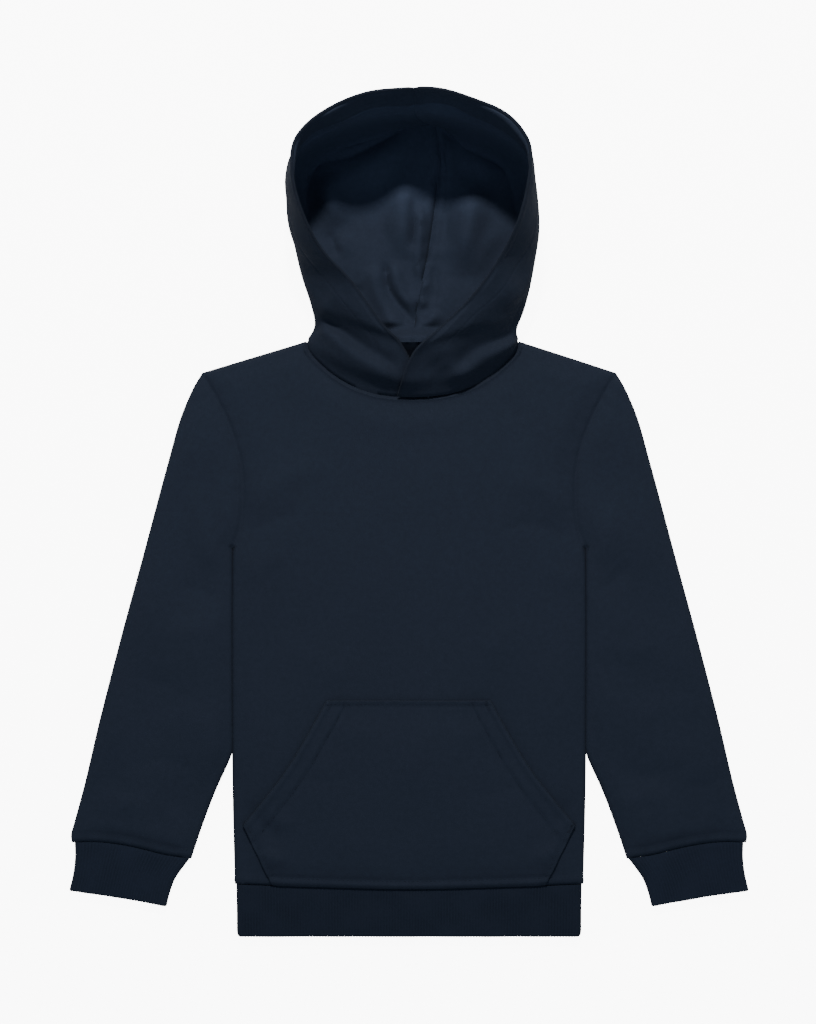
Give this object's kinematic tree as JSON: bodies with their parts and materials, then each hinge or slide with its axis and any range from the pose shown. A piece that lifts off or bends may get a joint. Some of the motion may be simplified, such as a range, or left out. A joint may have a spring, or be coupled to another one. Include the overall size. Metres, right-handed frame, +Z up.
{
  "type": "toddler hoodie",
  "caption": "Toddler's pullover hoodie in dark navy brushed fleece, laid flat on its back with its hood standing open; front pouch pocket, rib knit cuffs and hem band.",
  "frame": {"origin": "centre of the hoodie's outline, on the surface that it lies on", "axes": "+Z up off the surface, out of the hoodie's front; +Y from the hem band to the hood's crown; +X across the chest, towards the wearer's left sleeve"},
  "size_m": [0.4874, 0.5967, 0.1067],
  "materials": {
    "fleece": "matte brushed fleece, dark navy",
    "rib_knit": "matte rib knit, dark navy"
  },
  "bodies": {
    "root": {"front_body": "fleece", "back_body": "fleece", "sleeve_left": "fleece", "sleeve_right": "fleece", "cuff_left": "rib_knit", "cuff_right": "rib_knit", "hem_band": "rib_knit", "pouch_pocket": "fleece", "hood_left": "fleece", "hood_right": "fleece"}
  },
  "joints": []
}
